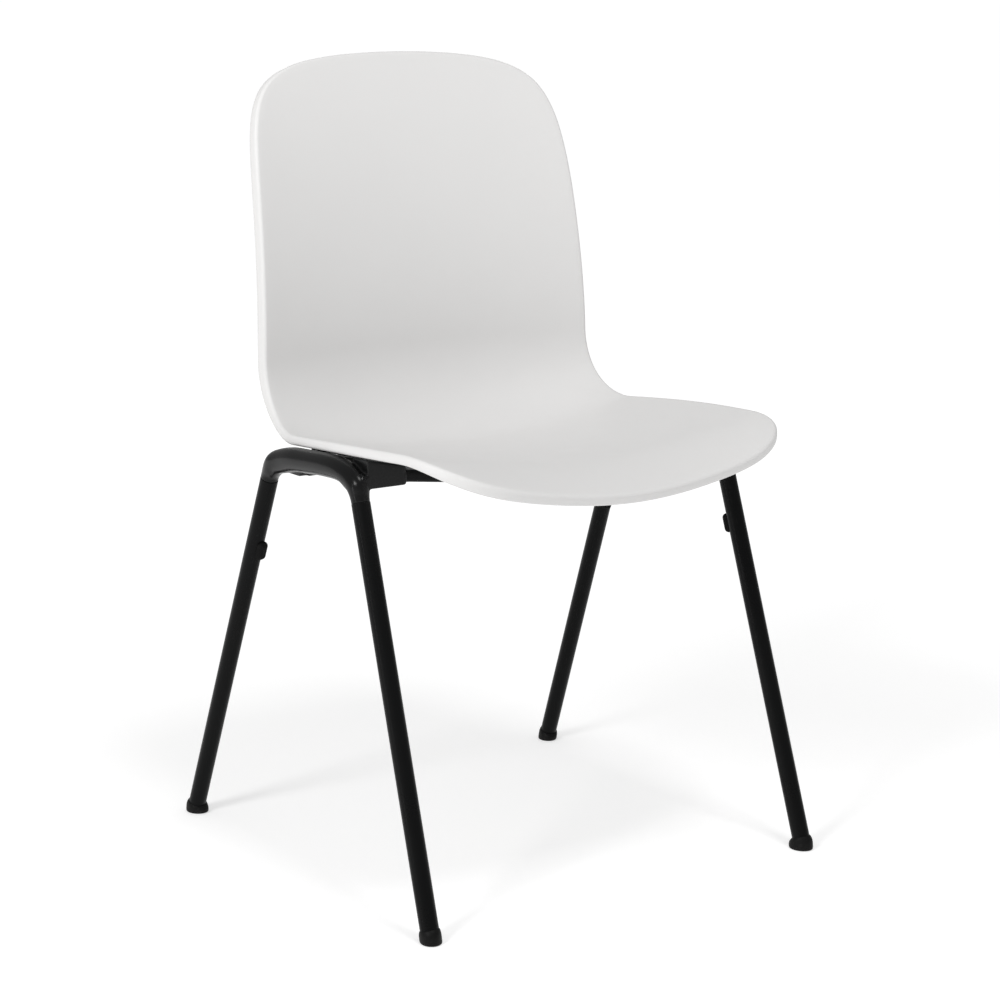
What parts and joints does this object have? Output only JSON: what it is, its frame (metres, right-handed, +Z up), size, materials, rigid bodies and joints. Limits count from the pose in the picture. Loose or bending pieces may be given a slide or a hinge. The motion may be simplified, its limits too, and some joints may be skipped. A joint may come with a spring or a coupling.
{
  "type": "stacking chair",
  "caption": "Stacking chair with a one-piece bowed shell on a black steel frame: splayed round legs, cast side brackets, bent crossbars, stacking bumpers and foot caps.",
  "frame": {"origin": "on the floor, under the middle of the chair's outer box, which is the middle of the four feet", "axes": "+X towards the sitter's left, -Y towards the front, +Z up"},
  "size_m": [0.5044, 0.5065, 0.8348],
  "materials": {
    "shell_white": "off-white moulded plastic with a very fine matte texture",
    "casting_black": "die-cast aluminium with a satin black powder coat",
    "tube_black": "steel tube with a satin black powder coat",
    "steel_black": "bent steel tube with a satin black powder coat",
    "foot_black": "black moulded plastic, lightly scuffed",
    "glide_grey": "hard dark grey plastic, worn matte on its floor face",
    "bumper_black": "matte black rubber",
    "rubber_black": "matte black rubber",
    "zinc_steel": "zinc-plated steel",
    "brass_insert": "turned brass"
  },
  "bodies": {
    "root": {"seat_shell": "shell_white", "shell_inserts": "brass_insert", "shell_pads": "rubber_black", "shell_screws": "zinc_steel", "shell_washers": "zinc_steel", "crossbar_front": "steel_black", "crossbar_rear": "steel_black", "crossbar_grub_screws": "zinc_steel", "leg_pins": "zinc_steel", "side_bracket_right": "casting_black", "edge_strip_right": "rubber_black", "leg_front_right": "tube_black", "foot_cap_front_right": "foot_black", "foot_glide_front_right": "glide_grey", "bumper_front_right": "bumper_black", "leg_rear_right": "tube_black", "foot_cap_rear_right": "foot_black", "foot_glide_rear_right": "glide_grey", "bumper_rear_right": "bumper_black", "side_bracket_left": "casting_black", "edge_strip_left": "rubber_black", "leg_front_left": "tube_black", "foot_cap_front_left": "foot_black", "foot_glide_front_left": "glide_grey", "bumper_front_left": "bumper_black", "leg_rear_left": "tube_black", "foot_cap_rear_left": "foot_black", "foot_glide_rear_left": "glide_grey", "bumper_rear_left": "bumper_black"}
  },
  "joints": []
}
